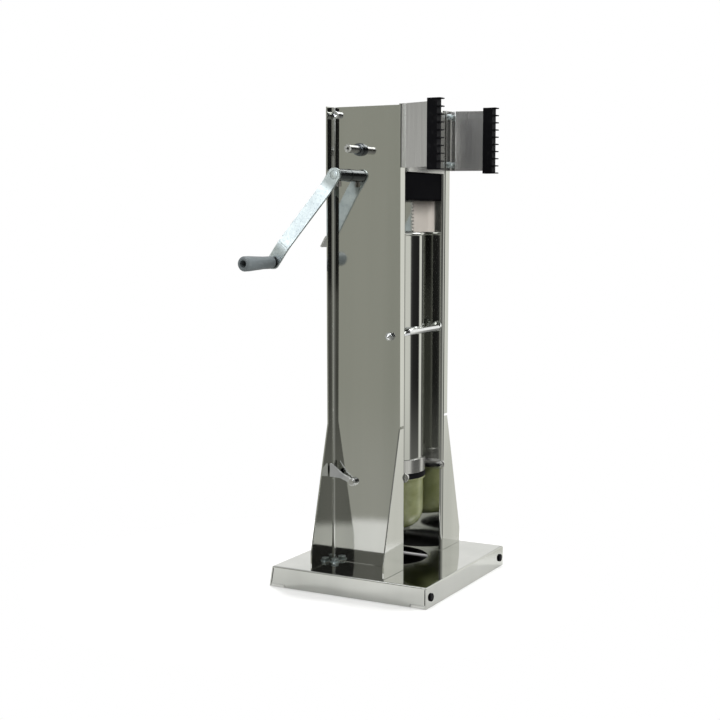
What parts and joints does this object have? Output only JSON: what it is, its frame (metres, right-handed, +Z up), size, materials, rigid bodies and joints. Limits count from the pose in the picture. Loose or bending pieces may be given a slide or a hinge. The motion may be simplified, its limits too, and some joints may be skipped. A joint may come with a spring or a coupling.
{
  "type": "sausage stuffer",
  "caption": "Upright hand-cranked sausage stuffer: a rack-driven piston in a tall steel cylinder over an outlet funnel, between mirror panels on a folded base, with a slow spare drive shaft",
  "frame": {"origin": "the centre of the bounding box's floor, on the plane that the base stands on", "axes": "+Z up along the cylinder; -Y toward the open front with the rubber strips; -X toward the crank; the shafts lie along X"},
  "size_m": [0.4124, 0.3182, 0.839],
  "materials": {
    "black_paint": "semi-matte",
    "black_rubber": "matte",
    "chrome": "polished",
    "funnel_plastic": "translucent, glossy",
    "gear_steel": "machined",
    "grey_plastic": "matte",
    "mirror_steel": "mirror polished",
    "rack_steel": "satin",
    "satin_steel": "satin",
    "white_plastic": "matte",
    "zinc_steel": "zinc plated"
  },
  "bodies": {
    "stand": {"base_pad_far_back": "white_plastic", "base_pad_far_front": "white_plastic", "base_pad_near_back": "white_plastic", "base_pad_near_front": "white_plastic", "base_tray": "mirror_steel", "bearing_cheek": "satin_steel", "bush_lower_far": "black_paint", "bush_lower_near": "black_paint", "bush_upper_near": "black_paint", "cap_nut_far": "chrome", "cap_nut_near": "chrome", "cradle_rod": "chrome", "cylinder": "mirror_steel", "cylinder_gasket": "black_rubber", "cylinder_handle": "satin_steel", "cylinder_ring": "satin_steel", "front_cover": "satin_steel", "gear_housing": "black_paint", "hinge_ear_far": "satin_steel", "hinge_ear_near": "satin_steel", "hinge_pin_far": "chrome", "hinge_pin_near": "chrome", "latch_pin_far": "satin_steel", "latch_pin_near": "satin_steel", "lying_foot_far": "black_rubber", "lying_foot_near": "black_rubber", "outlet_funnel": "funnel_plastic", "rack_guide": "white_plastic", "rest_wing_far": "satin_steel", "rest_wing_near": "satin_steel", "rubber_strip_far": "black_rubber", "rubber_strip_near": "black_rubber", "side_panel_far": "mirror_steel", "side_panel_near": "mirror_steel", "tie_bar": "satin_steel", "tie_bolt_far": "chrome", "tie_bolt_near": "chrome", "top_cover": "satin_steel", "wing_bolt_far_lower": "zinc_steel", "wing_bolt_far_upper": "zinc_steel", "wing_bolt_near_lower": "zinc_steel", "wing_bolt_near_upper": "zinc_steel"},
    "crank": {"lower_shaft": "satin_steel", "rack_pinion": "gear_steel", "large_gear": "gear_steel", "crank_hub": "black_paint", "hub_set_screw": "gear_steel", "crank_arm": "zinc_steel", "grip_bolt": "gear_steel", "grip_collar": "black_rubber"},
    "grip": {"crank_grip": "grey_plastic"},
    "slow_shaft": {"upper_shaft": "satin_steel", "small_gear": "gear_steel"},
    "ram": {"rack": "rack_steel", "piston": "satin_steel", "piston_seal": "black_rubber", "piston_bolt": "satin_steel"},
    "latch_near": {"latch_lever_near": "chrome"},
    "latch_far": {"latch_lever_far": "chrome"}
  },
  "joints": [
    {"name": "crank_turn", "type": "hinge", "parent": "stand", "child": "crank", "pos_m": [0.0412, 0.03949, 0.7175], "axis": [-1, 0, 0], "range_deg": [0, 1449]},
    {"name": "grip_spin", "type": "hinge", "parent": "crank", "child": "grip", "pos_m": [-0.1588, 0.14631, 0.5683], "axis": [1, 0, 0], "continuous": true},
    {"name": "slow_shaft_turn", "type": "hinge", "parent": "stand", "child": "slow_shaft", "pos_m": [0.0412, 0.01626, 0.76064], "axis": [-1, 0, 0], "range_deg": [-4468, 0]},
    {"name": "rack_slide", "type": "slide", "parent": "stand", "child": "ram", "axis": [0, 0, 1], "range_m": [0, 0.43]},
    {"name": "latch_near_turn", "type": "hinge", "parent": "stand", "child": "latch_near", "pos_m": [-0.0368, 0.02889, 0.183], "axis": [1, 0, 0], "range_deg": [0, 90]},
    {"name": "latch_far_turn", "type": "hinge", "parent": "stand", "child": "latch_far", "pos_m": [0.1192, 0.02889, 0.183], "axis": [1, 0, 0], "range_deg": [0, 90]}
  ],
  "couplings": [
    {"joint": "rack_slide", "follows": "crank_turn", "m_per_rad": 0.017},
    {"joint": "slow_shaft_turn", "follows": "crank_turn", "ratio": -3.0833}
  ]
}
